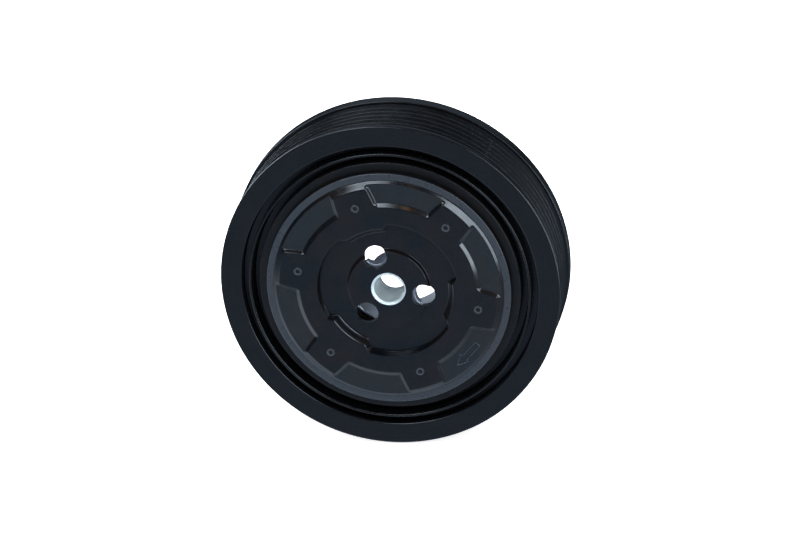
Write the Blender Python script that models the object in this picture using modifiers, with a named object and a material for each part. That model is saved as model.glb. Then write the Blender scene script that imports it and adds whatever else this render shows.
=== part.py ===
"""Electromagnetic clutch of a belt-driven compressor, as an assembly of its separate pieces.

Every piece is modelled under the empty "clutch", whose local frame is seen from the front:
x to the right, y up, z towards the viewer along the shaft. The empty stands the axis along
world Y, with the front facing -Y. Radii are measured from the shaft axis. Depths run
rearward from the front edge of the belt ring, so what stands proud of it is negative.
"""

import math

import bmesh
import bpy
from mathutils import Matrix

MM = 0.001
GAP = 0.3  # left between pieces that touch

# Overall
FRONT_DEPTH = -3.5
REAR_DEPTH = 34.6
CENTRE_DEPTH = (FRONT_DEPTH + REAR_DEPTH) / 2

# Belt ring with six V grooves
BELT_RADIUS = 60.0
BELT_WIDTH = 28.6
FLANGE_RADIUS = 60.26
RIB_TIP_RADIUS = 59.3
GROOVE_DEPTH = 2.9
GROOVE_COUNT = 6
GROOVE_PITCH = 3.56
FIRST_GROOVE_DEPTH = 3.85
GROOVE_FLANK_RUN = 1.05
RIB_TIP_WIDTH = 0.6
FACE_INNER_RADIUS = 52.4
FACE_RECESS_DEPTH = 4.2

# Rotor: lip, slotted pole face, outer wall and bearing seat
ROTOR_RADIUS = 50.0
LIP_INNER_RADIUS = 48.9
LIP_FRONT = -0.2
POLE_FACE = 5.7
POLE_BACK = 9.1
OUTER_WALL_INNER_RADIUS = 46.4
OUTER_WALL_END = 27.6
SEAT_OUTER_RADIUS = 29.6
SHOULDER_RADIUS = 23.6
ROTOR_HUB_END = 31.8
LINING_INNER_RADIUS = 36.4
LINING_OUTER_RADIUS = 39.6
LINING_BED = 7.2

# Double-row bearing, 35 x 52 x 20
BEARING_BORE_RADIUS = 17.5
BEARING_RADIUS = 26.0
BEARING_FRONT = 9.65
BEARING_WIDTH = 20.0
BEARING_MIDDLE = BEARING_FRONT + BEARING_WIDTH / 2
INNER_LAND_RADIUS = 20.1
OUTER_LAND_RADIUS = 23.4
BALL_CIRCLE_RADIUS = 21.75
BALL_RADIUS = 2.75
RACEWAY_RADIUS = 3.0
ROW_OFFSET = 4.6
POCKET_RADIUS = 3.2
BALLS_IN_ROW = 11

# Armature plate behind the front plate
ARMATURE_RADIUS = 46.3
ARMATURE_INNER_RADIUS = 28.6
ARMATURE_FRONT = 0.8
ARMATURE_BACK = 5.2

# Stamped front plate
SHEET = 2.4
PLATEAU = -3.5
PAD_FLOOR = -2.57
RIM_LEVEL = -1.9
RIM_RADIUS = 43.3
RIM_FOOT_RADIUS = 40.7
PLATEAU_EDGE_RADIUS = 38.4
PAD_INNER_RADII = (31.0, 32.9)
PAD_OUTER_RADIUS = 39.3
PAD_COUNT = 6
PAD_ANGLE = 17.0
PAD_HALF_ANGLE = 16.3
PAD_FLARE = 0.5  # degrees gained for each millimetre outward
PAD_WALL_RUN = 1.3
LOBE_RADIUS = 24.4
WAIST_RADIUS = 21.6
LOBE_ANGLE = 48.0
LOBE_HALF_ANGLE = 40.0
LOBE_COUNT = 3

# Hub
FLANGE_DISC_RADIUS = 27.0
FLANGE_FLOOR = -0.8
BOSS_FACE = -2.1
BOSS_RADIUS = 14.0
FLANGE_SHEET = 1.6
SHAFT_BORE_RADIUS = 5.1
SLEEVE_NOSE_RADIUS = 6.1
SLEEVE_FRONT = -2.2
COLLAR_RADIUS = 12.3
SLEEVE_RADIUS = 8.8
SLEEVE_END = 12.0
TOOL_HOLE_RADIUS = 4.03
TOOL_HOLE_CIRCLE = 12.44
SCALLOP_CIRCLE = 13.35
TOOL_HOLE_ANGLE = 108.0
KEYWAY_WIDTH = 2.4
KEYWAY_RADIUS = 5.7

# Leaf springs and rivets
RIVET_CIRCLE = 32.2
RIVET_ANGLE = 47.0
RIVET_RADIUS = 1.3
ARMATURE_RIVET_CIRCLE = 34.0
ARMATURE_RIVET_RADIUS = 1.6
LEAF_FRONT = 0.15
LEAF_BACK = 0.5
LEAF_RADII = (29.8, 36.4)
LEAF_COUNT = 3

# Field coil and its mounting plate
CASE_RADIUS = 45.6
CASE_INNER_RADIUS = 30.4
CASE_WALL = 2.0
CASE_FRONT = 10.0
CASE_BACK = 32.3
MOUNT_PLATE_RADIUS = 46.4
MOUNT_PLATE_INNER_RADIUS = 20.5
MOUNT_PLATE_FRONT = 32.6

# Facets round a full turn
FINE = 40
PLAIN = 36
SMALL = 28
ROUND_HOLE = 12
TOOL_HOLE = 20
PLATE_COLUMNS = 60


def clear_scene():
    for obj in list(bpy.data.objects):
        bpy.data.objects.remove(obj, do_unlink=True)


def make_material(name, colour, roughness, metallic):
    material = bpy.data.materials.new(name)
    material.use_nodes = True
    shader = material.node_tree.nodes["Principled BSDF"]
    shader.inputs["Base Color"].default_value = (*colour, 1.0)
    shader.inputs["Roughness"].default_value = roughness
    shader.inputs["Metallic"].default_value = metallic
    material.diffuse_color = (*colour, 1.0)
    return material


clear_scene()

parts = bpy.data.collections.new("electromagnetic_clutch")
cutters = bpy.data.collections.new("cutters")
for collection in (parts, cutters):
    bpy.context.scene.collection.children.link(collection)

clutch = bpy.data.objects.new("clutch", None)
clutch.rotation_euler = (math.pi / 2, 0, 0)
parts.objects.link(clutch)

BLACK_COAT = make_material("black_coat", (0.022, 0.026, 0.034), 0.32, 0.0)
SATIN_BLACK = make_material("satin_black", (0.030, 0.034, 0.042), 0.48, 0.0)
BRIGHT_STEEL = make_material("bright_steel", (0.62, 0.65, 0.66), 0.30, 1.0)
SPRING_STEEL = make_material("spring_steel", (0.36, 0.38, 0.42), 0.35, 1.0)
LINING = make_material("lining", (0.10, 0.085, 0.07), 0.9, 0.0)
SEAL_RUBBER = make_material("seal_rubber", (0.035, 0.022, 0.018), 0.7, 0.0)
CAGE_NYLON = make_material("cage_nylon", (0.55, 0.50, 0.38), 0.5, 0.0)
COPPER = make_material("copper", (0.65, 0.27, 0.12), 0.35, 1.0)
RESIN = make_material("resin", (0.05, 0.12, 0.07), 0.45, 0.0)
ZINC = make_material("zinc", (0.52, 0.53, 0.52), 0.4, 1.0)
PLASTIC = make_material("plastic", (0.04, 0.04, 0.045), 0.5, 0.0)


def height(depth):
    """Local z of a depth, in metres."""
    return (CENTRE_DEPTH - depth) * MM


def on_circle(radius, degrees):
    angle = math.radians(degrees)
    return radius * math.cos(angle) * MM, radius * math.sin(angle) * MM


def add_object(name, mesh, material):
    """A piece of the clutch when it has a material, else a cutter."""
    obj = bpy.data.objects.new(name, mesh)
    obj.parent = clutch
    if material:
        mesh.materials.clear()
        mesh.materials.append(material)
        parts.objects.link(obj)
    else:
        cutters.objects.link(obj)
        obj.hide_render = True
        obj.display_type = "WIRE"
    return obj


def add_screw(obj, degrees, steps):
    screw = obj.modifiers.new("turn", "SCREW")
    screw.axis = "Z"
    screw.angle = math.radians(degrees)
    screw.steps = steps
    screw.render_steps = steps
    screw.use_merge_vertices = degrees == 360
    screw.merge_threshold = 0.00001


def outline_mesh(name, outline, closed):
    """The outline's points, (radius, depth), as edges in the XZ plane."""
    points = [(radius * MM, 0.0, height(depth)) for radius, depth in outline]
    edges = [(i, i + 1) for i in range(len(points) - 1)]
    if closed:
        edges.append((len(points) - 1, 0))
    mesh = bpy.data.meshes.new(name)
    mesh.from_pydata(points, edges, [])
    return mesh


def runs_down_outside(outline):
    """Whether the outline goes rearward on its outer side, so that the turned faces point out."""
    pairs = zip(outline, outline[1:] + outline[:1])
    return sum(a[0] * b[1] - b[0] * a[1] for a, b in pairs) > 0


def turned(name, outline, material, steps=PLAIN):
    """A ring from a closed outline, or a solid when the outline starts and ends on the axis."""
    if not runs_down_outside(outline):
        outline = outline[::-1]
    on_axis = outline[0][0] == 0
    obj = add_object(name, outline_mesh(name, outline, not on_axis), material)
    add_screw(obj, 360, steps)
    return obj


def tube(name, inner, outer, front, back, material, steps=PLAIN):
    return turned(name, [(outer, front), (outer, back), (inner, back), (inner, front)], material, steps)


def sector(name, inner, outer, front, back, start, sweep, steps, material=None):
    """A flat piece of ring, from the angle start over sweep degrees."""
    middle = (front + back) / 2
    mesh = outline_mesh(name, [(inner, middle), (outer, middle)], False)
    obj = add_object(name, mesh, material)
    obj.rotation_euler.z = math.radians(start)
    add_screw(obj, sweep, steps)
    solidify = obj.modifiers.new("thickness", "SOLIDIFY")
    solidify.thickness = (back - front) * MM
    solidify.offset = 0
    return obj


def rod(name, radius, front, back, at, material=None, steps=ROUND_HOLE):
    """A cylinder along the shaft axis, centred on the local point at."""
    mesh = bpy.data.meshes.new(name)
    shape = bmesh.new()
    bmesh.ops.create_cone(
        shape, cap_ends=True, segments=steps, radius1=radius * MM, radius2=radius * MM,
        depth=(back - front) * MM,
    )
    shape.to_mesh(mesh)
    shape.free()
    obj = add_object(name, mesh, material)
    obj.location = (at[0], at[1], height((front + back) / 2))
    return obj


def block(name, size, middle, material=None):
    """A box of size x, y and depth, centred on the local x, y and the depth of middle."""
    mesh = bpy.data.meshes.new(name)
    shape = bmesh.new()
    scale = Matrix.Diagonal([side * MM for side in size]).to_4x4()
    bmesh.ops.create_cube(shape, size=1, matrix=scale)
    shape.to_mesh(mesh)
    shape.free()
    obj = add_object(name, mesh, material)
    obj.location = (middle[0] * MM, middle[1] * MM, height(middle[2]))
    return obj


def cut(target, tools):
    """Takes every tool's shape out of the target with one Boolean."""
    group = bpy.data.collections.new(f"{target.name}_tools")
    cutters.children.link(group)
    for tool in tools:
        cutters.objects.unlink(tool)
        group.objects.link(tool)
    boolean = target.modifiers.new("cut", "BOOLEAN")
    boolean.operation = "DIFFERENCE"
    boolean.operand_type = "COLLECTION"
    boolean.collection = group
    boolean.solver = "EXACT"


def ramp(value, start, end):
    """0 before start, 1 after end and straight between."""
    return min(max((value - start) / (end - start), 0.0), 1.0)


# ---------------------------------------------------------------- belt ring and rotor


def groove_outline():
    """The ribbed outer side, front to back: flank, bottom and flank of each groove."""
    bottom_width = GROOVE_PITCH - RIB_TIP_WIDTH - 2 * GROOVE_FLANK_RUN
    bottom_radius = RIB_TIP_RADIUS - GROOVE_DEPTH
    points = []
    for index in range(GROOVE_COUNT):
        middle = FIRST_GROOVE_DEPTH + index * GROOVE_PITCH
        half_bottom = bottom_width / 2
        half_mouth = half_bottom + GROOVE_FLANK_RUN
        points += [
            (RIB_TIP_RADIUS, middle - half_mouth),
            (bottom_radius, middle - half_bottom),
            (bottom_radius, middle + half_bottom),
            (RIB_TIP_RADIUS, middle + half_mouth),
        ]
    return points


def make_belt_ring():
    chamfer = 0.8
    grooves = groove_outline()
    land_end = grooves[0][1] - 0.4
    flange_start = grooves[-1][1] + 0.6
    outline = [
        (FACE_INNER_RADIUS + chamfer, 0.0),
        (BELT_RADIUS - chamfer, 0.0),
        (BELT_RADIUS, chamfer),
        (BELT_RADIUS, land_end),
        *grooves,
        (FLANGE_RADIUS, flange_start),
        (FLANGE_RADIUS, BELT_WIDTH - chamfer),
        (FLANGE_RADIUS - chamfer, BELT_WIDTH),
        (ROTOR_RADIUS + GAP, BELT_WIDTH),
        (ROTOR_RADIUS + GAP, FACE_RECESS_DEPTH),
        (FACE_INNER_RADIUS, FACE_RECESS_DEPTH),
        (FACE_INNER_RADIUS, chamfer),
    ]
    turned("belt_ring", outline, SATIN_BLACK, FINE)


def make_rotor():
    seat = BEARING_RADIUS + GAP
    groove_front = BEARING_FRONT + BEARING_WIDTH
    groove_back = groove_front + 1.4
    outline = [
        (LIP_INNER_RADIUS, LIP_FRONT),
        (ROTOR_RADIUS, LIP_FRONT),
        (ROTOR_RADIUS, OUTER_WALL_END),
        (OUTER_WALL_INNER_RADIUS, OUTER_WALL_END),
        (OUTER_WALL_INNER_RADIUS, POLE_BACK),
        (SEAT_OUTER_RADIUS, POLE_BACK),
        (SEAT_OUTER_RADIUS, ROTOR_HUB_END),
        (seat, ROTOR_HUB_END),
        (seat, groove_back),
        (seat + 1.2, groove_back),
        (seat + 1.2, groove_front),
        (seat, groove_front),
        (seat, BEARING_FRONT - GAP),
        (SHOULDER_RADIUS, BEARING_FRONT - GAP),
        (SHOULDER_RADIUS, POLE_FACE),
        (LINING_INNER_RADIUS, POLE_FACE),
        (LINING_INNER_RADIUS, LINING_BED),
        (LINING_OUTER_RADIUS, LINING_BED),
        (LINING_OUTER_RADIUS, POLE_FACE),
        (LIP_INNER_RADIUS, POLE_FACE),
    ]
    rotor = turned("rotor", outline, SATIN_BLACK, FINE)
    tools = []
    for row, (inner, outer, sweep) in enumerate(((33.2, 35.2, 48), (41.6, 43.6, 50))):
        for index in range(6):
            start = index * 60 + row * 30
            name = f"rotor_slot_{row}_{index}"
            tools.append(sector(name, inner, outer, POLE_FACE - 1, POLE_BACK + 1, start, sweep, 4))
    cut(rotor, tools)


def make_friction_lining():
    tube(
        "friction_lining", LINING_INNER_RADIUS + GAP, LINING_OUTER_RADIUS - GAP,
        POLE_FACE, LINING_BED - GAP, LINING,
    )


# ---------------------------------------------------------------- bearing


def raceways(land_radius, side):
    """Both raceways of a ring from front to back, bulging away from the balls; side is -1 inside."""
    reach = abs(land_radius - BALL_CIRCLE_RADIUS)
    half = math.degrees(math.acos(reach / RACEWAY_RADIUS))
    points = []
    for row in (-1, 1):
        middle = BEARING_MIDDLE + row * ROW_OFFSET
        for step in range(4):
            angle = math.radians(half * (step * 2 / 3 - 1))
            radius = BALL_CIRCLE_RADIUS + side * RACEWAY_RADIUS * math.cos(angle)
            points.append((radius, middle + RACEWAY_RADIUS * math.sin(angle)))
    return points


def make_races():
    front = BEARING_FRONT
    back = BEARING_FRONT + BEARING_WIDTH
    inner = [
        (BEARING_BORE_RADIUS, front),
        (INNER_LAND_RADIUS, front),
        *raceways(INNER_LAND_RADIUS, -1),
        (INNER_LAND_RADIUS, back),
        (BEARING_BORE_RADIUS, back),
    ]
    turned("bearing_inner_race", inner, BRIGHT_STEEL, SMALL)
    outer = [
        (BEARING_RADIUS, front),
        (OUTER_LAND_RADIUS, front),
        *raceways(OUTER_LAND_RADIUS, 1),
        (OUTER_LAND_RADIUS, back),
        (BEARING_RADIUS, back),
    ]
    turned("bearing_outer_race", outer, BRIGHT_STEEL, SMALL)


def ball_centre(row, index):
    """Local place of a ball; the rear row is turned by half a pitch."""
    pitch = 360 / BALLS_IN_ROW
    x, y = on_circle(BALL_CIRCLE_RADIUS, (index + row / 2) * pitch)
    offset = ROW_OFFSET * (2 * row - 1)
    return x, y, height(BEARING_MIDDLE + offset)


def make_balls():
    mesh = bpy.data.meshes.new("ball")
    shape = bmesh.new()
    bmesh.ops.create_icosphere(shape, subdivisions=2, radius=BALL_RADIUS * MM)
    shape.to_mesh(mesh)
    shape.free()
    for row, word in enumerate(("front", "rear")):
        for index in range(BALLS_IN_ROW):
            ball = add_object(f"ball_{word}_{index + 1:02d}", mesh, BRIGHT_STEEL)
            ball.location = ball_centre(row, index)


def make_cages():
    """Crown cages: a ring outside each row, with pockets that open towards the other row."""
    for row, word in enumerate(("front", "rear")):
        side = 2 * row - 1
        ends = [BEARING_MIDDLE + side * (ROW_OFFSET + offset) for offset in (0.4, 3.95)]
        cage = tube(f"cage_{word}", 20.6, 22.9, min(ends), max(ends), CAGE_NYLON, SMALL)
        tools = []
        for index in range(BALLS_IN_ROW):
            tool = rod(f"pocket_{word}_{index}", POCKET_RADIUS, 0, 6, (0, 0), None, 10)
            tool.location = ball_centre(row, index)
            tool.rotation_euler = (0, math.pi / 2, math.atan2(tool.location.y, tool.location.x))
            tools.append(tool)
        cut(cage, tools)


def make_seals_and_retainer():
    inset = 0.15
    width = 0.85
    back = BEARING_FRONT + BEARING_WIDTH - inset
    front = BEARING_FRONT + inset
    tube("bearing_seal_front", 20.4, 23.1, front, front + width, SEAL_RUBBER, SMALL)
    tube("bearing_seal_rear", 20.4, 23.1, back - width, back, SEAL_RUBBER, SMALL)
    start = BEARING_FRONT + BEARING_WIDTH + GAP
    sector("bearing_snap_ring", 24.9, 27.2, start, start + 0.8, 285, 330, 33, SPRING_STEEL)


# ---------------------------------------------------------------- armature


def ring_of_rods(name, radius, front, back, circle, first, count, steps=ROUND_HOLE):
    """Cutters along the axis, spread evenly round a circle."""
    places = [on_circle(circle, first + index * 360 / count) for index in range(count)]
    return [rod(f"{name}_{index}", radius, front, back, at, None, steps) for index, at in enumerate(places)]


def make_armature():
    armature = tube(
        "armature_plate", ARMATURE_INNER_RADIUS, ARMATURE_RADIUS, ARMATURE_FRONT, ARMATURE_BACK,
        SPRING_STEEL, FINE,
    )
    front = ARMATURE_FRONT - 1
    back = ARMATURE_BACK + 1
    tools = ring_of_rods("tail_clearance", 2.4, front, back, RIVET_CIRCLE, RIVET_ANGLE, 6)
    rivet_hole = ARMATURE_RIVET_RADIUS + GAP
    tools += ring_of_rods("rivet_hole", rivet_hole, front, back, ARMATURE_RIVET_CIRCLE, PAD_ANGLE, 3)
    for index in range(6):
        tools.append(sector(f"armature_slot_{index}", 37.2, 39.0, front, back, index * 60 - 6, 46, 4))
    cut(armature, tools)
    for index in range(LEAF_COUNT):
        place = on_circle(ARMATURE_RIVET_CIRCLE, PAD_ANGLE + index * 120)
        name = f"armature_rivet_{index + 1}"
        rod(name, ARMATURE_RIVET_RADIUS, LEAF_FRONT, ARMATURE_BACK - GAP, place, ZINC)


def make_leaf_springs():
    """Each leaf runs from one plate rivet to the next and is held at its middle by the armature's."""
    end_overhang = 4.0
    span = 60.0
    for index in range(LEAF_COUNT):
        middle = PAD_ANGLE + index * 120
        start = middle - span / 2 - end_overhang
        sweep = span + 2 * end_overhang
        name = f"leaf_spring_{index + 1}"
        leaf = sector(name, *LEAF_RADII, LEAF_FRONT, LEAF_BACK, start, sweep, 8, SPRING_STEEL)
        place = on_circle(ARMATURE_RIVET_CIRCLE, middle)
        tools = [rod(f"leaf_hole_{index}_0", ARMATURE_RIVET_RADIUS + GAP, -1, 2, place)]
        for side in (-1, 1):
            place = on_circle(RIVET_CIRCLE, middle + side * span / 2)
            tools.append(rod(f"leaf_hole_{index}_{side}", RIVET_RADIUS + 0.35, -1, 2, place))
        cut(leaf, tools)


# ---------------------------------------------------------------- hub and front plate


def pad_share(radius, degrees):
    """How far the sheet is pressed back into a pad pocket, 0 on the plateau and 1 on the floor."""
    pitch = 360 / PAD_COUNT
    off_middle = abs((degrees - PAD_ANGLE + pitch / 2) % pitch - pitch / 2)
    half_angle = PAD_HALF_ANGLE + PAD_FLARE * (radius - PAD_INNER_RADII[1])
    past_floor = math.radians(off_middle - half_angle) * radius
    return ramp(radius, *PAD_INNER_RADII) * (1 - ramp(past_floor, 0, PAD_WALL_RUN))


def plate_depth(radius, degrees):
    """Depth of the front plate's front surface."""
    step = ramp(radius, PLATEAU_EDGE_RADIUS, RIM_FOOT_RADIUS)
    plateau = PLATEAU + (RIM_LEVEL - PLATEAU) * step
    pad_step = ramp(radius, PAD_OUTER_RADIUS, RIM_FOOT_RADIUS)
    pad = PAD_FLOOR + (RIM_LEVEL - PAD_FLOOR) * pad_step
    return plateau + max(pad - plateau, 0) * pad_share(radius, degrees)


def window_radius(degrees):
    """Inner edge of the front plate: three wide lobes with narrower waists between them."""
    pitch = 360 / LOBE_COUNT
    off_middle = abs((degrees - LOBE_ANGLE + pitch / 2) % pitch - pitch / 2)
    return WAIST_RADIUS if off_middle > LOBE_HALF_ANGLE else LOBE_RADIUS


def make_front_plate():
    """One pressed sheet: a raised plateau with six pad pockets, stepping back to a flat rim."""
    radii = [*PAD_INNER_RADII, PLATEAU_EDGE_RADIUS, PAD_OUTER_RADIUS, RIM_FOOT_RADIUS, RIM_RADIUS]
    sheet = bmesh.new()
    rows = []
    for column in range(PLATE_COLUMNS):
        degrees = column * 360 / PLATE_COLUMNS
        row = []
        for radius in [window_radius(degrees), *radii]:
            x, y = on_circle(radius, degrees)
            row.append(sheet.verts.new((x, y, height(plate_depth(radius, degrees)))))
        rows.append(row)
    for row, following in zip(rows, rows[1:] + rows[:1]):
        for inner, outer in zip(range(len(row) - 1), range(1, len(row))):
            sheet.faces.new((row[inner], row[outer], following[outer], following[inner]))
    mesh = bpy.data.meshes.new("front_plate")
    sheet.to_mesh(mesh)
    sheet.free()
    plate = add_object("front_plate", mesh, BLACK_COAT)
    solidify = plate.modifiers.new("sheet", "SOLIDIFY")
    solidify.thickness = SHEET * MM
    solidify.offset = -1
    hole = RIVET_RADIUS + 0.35
    cut(plate, ring_of_rods("plate_hole", hole, PLATEAU - 2, 2, RIVET_CIRCLE, RIVET_ANGLE, 6))


def make_plate_rivets():
    """Hollow-ended rivets: shank, a shoulder under the plate and a tail behind the leaf spring."""
    shoulder_front = PLATEAU + SHEET + GAP
    outline = [
        (0, PLATEAU + 0.6),
        (0.5, PLATEAU + 0.6),
        (0.5, PLATEAU),
        (RIVET_RADIUS, PLATEAU),
        (RIVET_RADIUS, shoulder_front),
        (2.2, shoulder_front),
        (2.2, LEAF_FRONT - GAP),
        (RIVET_RADIUS, LEAF_FRONT - GAP),
        (RIVET_RADIUS, LEAF_BACK + GAP),
        (1.9, LEAF_BACK + GAP),
        (1.9, LEAF_BACK + 1.1),
        (0, LEAF_BACK + 1.1),
    ]
    for index in range(6):
        rivet = turned(f"plate_rivet_{index + 1}", outline, BLACK_COAT, 8)
        x, y = on_circle(RIVET_CIRCLE, RIVET_ANGLE + index * 60)
        rivet.location = (x, y, 0)


def make_hub_flange():
    hole = SLEEVE_NOSE_RADIUS + GAP
    outline = [
        (hole, BOSS_FACE),
        (BOSS_RADIUS, BOSS_FACE),
        (BOSS_RADIUS + 0.8, FLANGE_FLOOR),
        (FLANGE_DISC_RADIUS, FLANGE_FLOOR),
        (FLANGE_DISC_RADIUS, FLANGE_FLOOR + FLANGE_SHEET),
        (BOSS_RADIUS - 0.4, FLANGE_FLOOR + FLANGE_SHEET),
        (BOSS_RADIUS - 1.2, BOSS_FACE + FLANGE_SHEET),
        (hole, BOSS_FACE + FLANGE_SHEET),
    ]
    flange = turned("hub_flange", outline, BLACK_COAT)
    circle = TOOL_HOLE_CIRCLE
    tools = ring_of_rods("tool_hole", TOOL_HOLE_RADIUS, -5, 5, circle, TOOL_HOLE_ANGLE, 3, TOOL_HOLE)
    cut(flange, tools)


def make_hub_sleeve():
    collar_front = BOSS_FACE + FLANGE_SHEET + GAP
    outline = [
        (SHAFT_BORE_RADIUS + 0.8, SLEEVE_FRONT),
        (SLEEVE_NOSE_RADIUS, SLEEVE_FRONT),
        (SLEEVE_NOSE_RADIUS, collar_front),
        (COLLAR_RADIUS, collar_front),
        (COLLAR_RADIUS, collar_front + 2.6),
        (SLEEVE_RADIUS, collar_front + 3.6),
        (SLEEVE_RADIUS, SLEEVE_END),
        (SHAFT_BORE_RADIUS + 0.5, SLEEVE_END),
        (SHAFT_BORE_RADIUS, SLEEVE_END - 0.5),
        (SHAFT_BORE_RADIUS, SLEEVE_FRONT + 0.9),
    ]
    sleeve = turned("hub_sleeve", outline, BRIGHT_STEEL, SMALL)
    tools = ring_of_rods("scallop", TOOL_HOLE_RADIUS, -5, 8, SCALLOP_CIRCLE, TOOL_HOLE_ANGLE, 3)
    keyway = block("keyway", (KEYWAY_RADIUS, KEYWAY_WIDTH, 30), (KEYWAY_RADIUS / 2, 0, 5))
    cut(sleeve, [*tools, keyway])


# ---------------------------------------------------------------- field coil


def make_coil():
    """Steel cup open to the front, with the spool, its winding and the resin that closes it."""
    case = [
        (CASE_RADIUS, CASE_FRONT),
        (CASE_RADIUS, CASE_BACK),
        (CASE_INNER_RADIUS, CASE_BACK),
        (CASE_INNER_RADIUS, CASE_FRONT),
        (CASE_INNER_RADIUS + CASE_WALL, CASE_FRONT),
        (CASE_INNER_RADIUS + CASE_WALL, CASE_BACK - CASE_WALL),
        (CASE_RADIUS - CASE_WALL, CASE_BACK - CASE_WALL),
        (CASE_RADIUS - CASE_WALL, CASE_FRONT),
    ]
    turned("coil_case", case, ZINC)
    spool_wall = 1.2
    inner = CASE_INNER_RADIUS + CASE_WALL + GAP
    outer = CASE_RADIUS - CASE_WALL - GAP
    front = CASE_FRONT + 1.5
    back = CASE_BACK - CASE_WALL - GAP
    spool = [
        (inner, front),
        (outer, front),
        (outer, front + spool_wall),
        (inner + spool_wall, front + spool_wall),
        (inner + spool_wall, back - spool_wall),
        (outer, back - spool_wall),
        (outer, back),
        (inner, back),
    ]
    turned("coil_bobbin", spool, PLASTIC)
    clear = spool_wall + GAP
    tube("coil_winding", inner + clear, outer - 0.6, front + clear, back - clear, COPPER)
    tube("coil_resin", inner, outer, CASE_FRONT + 0.2, front - GAP, RESIN)


def make_mount_plate():
    """Plate that carries the coil, with a notch that keys it against turning."""
    plate = tube(
        "coil_mount_plate", MOUNT_PLATE_INNER_RADIUS, MOUNT_PLATE_RADIUS,
        MOUNT_PLATE_FRONT, REAR_DEPTH, ZINC,
    )
    notch = block("key_notch", (5, 7, 10), (0, MOUNT_PLATE_RADIUS - 1, REAR_DEPTH - 1))
    cut(plate, [notch])


def make_connector():
    """Moulded terminal block below the mounting plate, with its two blades pointing down."""
    top = -(MOUNT_PLATE_RADIUS + 0.4)
    length = 9.0
    thickness = 4.0
    depth = REAR_DEPTH - 2.4
    block("connector_body", (14, length, thickness), (0, top - length / 2, depth), PLASTIC)
    blade = 3.4
    for index, x in enumerate((-3.2, 3.2)):
        middle = (x, top - length - GAP - blade / 2, depth)
        block(f"terminal_blade_{index + 1}", (2.8, blade, 0.8), middle, COPPER)


make_belt_ring()
make_rotor()
make_friction_lining()
make_races()
make_balls()
make_cages()
make_seals_and_retainer()
make_armature()
make_leaf_springs()
make_front_plate()
make_plate_rivets()
make_hub_flange()
make_hub_sleeve()
make_coil()
make_mount_plate()
make_connector()
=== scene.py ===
"""Looks of the electromagnetic clutch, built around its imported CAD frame.

World x is to the right, z up and y rearward along the shaft axis. Radii are from that axis, in
millimetres. Depths are in millimetres rearward of the belt ring's front edge, so what stands
proud of it is negative. Angles are seen from the front, counter-clockwise from +x.
"""

import math

import bmesh
import bpy
import numpy as np
from mathutils import Matrix, Vector

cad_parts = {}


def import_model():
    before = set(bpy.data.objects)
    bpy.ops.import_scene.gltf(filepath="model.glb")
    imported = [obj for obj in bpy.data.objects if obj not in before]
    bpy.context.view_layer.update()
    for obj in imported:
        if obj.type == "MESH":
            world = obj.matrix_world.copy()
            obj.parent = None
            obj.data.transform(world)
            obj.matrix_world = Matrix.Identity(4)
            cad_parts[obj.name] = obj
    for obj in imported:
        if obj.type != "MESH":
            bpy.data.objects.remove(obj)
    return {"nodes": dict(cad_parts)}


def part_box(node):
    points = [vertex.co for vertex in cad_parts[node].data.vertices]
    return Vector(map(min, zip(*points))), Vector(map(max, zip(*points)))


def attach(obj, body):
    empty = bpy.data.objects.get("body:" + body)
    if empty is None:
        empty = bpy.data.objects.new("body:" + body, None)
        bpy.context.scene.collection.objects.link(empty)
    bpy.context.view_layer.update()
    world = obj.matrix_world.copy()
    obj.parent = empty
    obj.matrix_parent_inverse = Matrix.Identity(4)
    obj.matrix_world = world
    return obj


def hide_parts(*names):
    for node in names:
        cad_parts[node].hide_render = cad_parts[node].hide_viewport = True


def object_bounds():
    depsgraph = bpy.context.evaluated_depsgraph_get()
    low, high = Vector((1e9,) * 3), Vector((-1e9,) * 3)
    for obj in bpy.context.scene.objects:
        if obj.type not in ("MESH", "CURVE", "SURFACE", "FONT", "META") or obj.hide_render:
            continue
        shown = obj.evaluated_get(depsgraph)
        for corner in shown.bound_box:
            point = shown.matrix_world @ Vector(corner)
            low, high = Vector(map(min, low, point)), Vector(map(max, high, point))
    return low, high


MM = 0.001
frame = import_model()
CAD_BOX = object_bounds()

# Depths follow the CAD: the belt ring's width places its front edge.
BELT_FRONT_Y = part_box("belt_ring")[0].y

# Belt ring
BELT_RADIUS = 60.0
FLANGE_RADIUS = 60.26
BELT_WIDTH = 28.6
RIB_TIP_RADIUS = 59.3
GROOVE_DEPTH = 2.9
GROOVE_COUNT = 6
GROOVE_PITCH = 3.56
FIRST_GROOVE = 3.85
SEAM_ANGLE = 52.0

# Rotor
ROTOR_RADIUS = 50.0
LIP_INNER = 48.9
POLE_FACE = 5.7
POLE_BACK = 9.1
SEAT_RADIUS = 26.3
POLE_SLOTS = ((33.2, 35.2, 45), (41.6, 43.6, 47))  # inner and outer radius, sweep in degrees

# Bearing
BEARING_FRONT = 9.65
BEARING_BACK = 29.65
BORE_RADIUS = 17.5
SHELL_RADIUS = 26.0
BALL_CIRCLE_RADIUS = 21.75
RACEWAY_RADIUS = 3.0
BALL_ROW_OFFSET = 4.6
INNER_LAND_RADIUS = 20.1
OUTER_LAND_RADIUS = 23.4
RACEWAY_STEPS = 8

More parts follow.
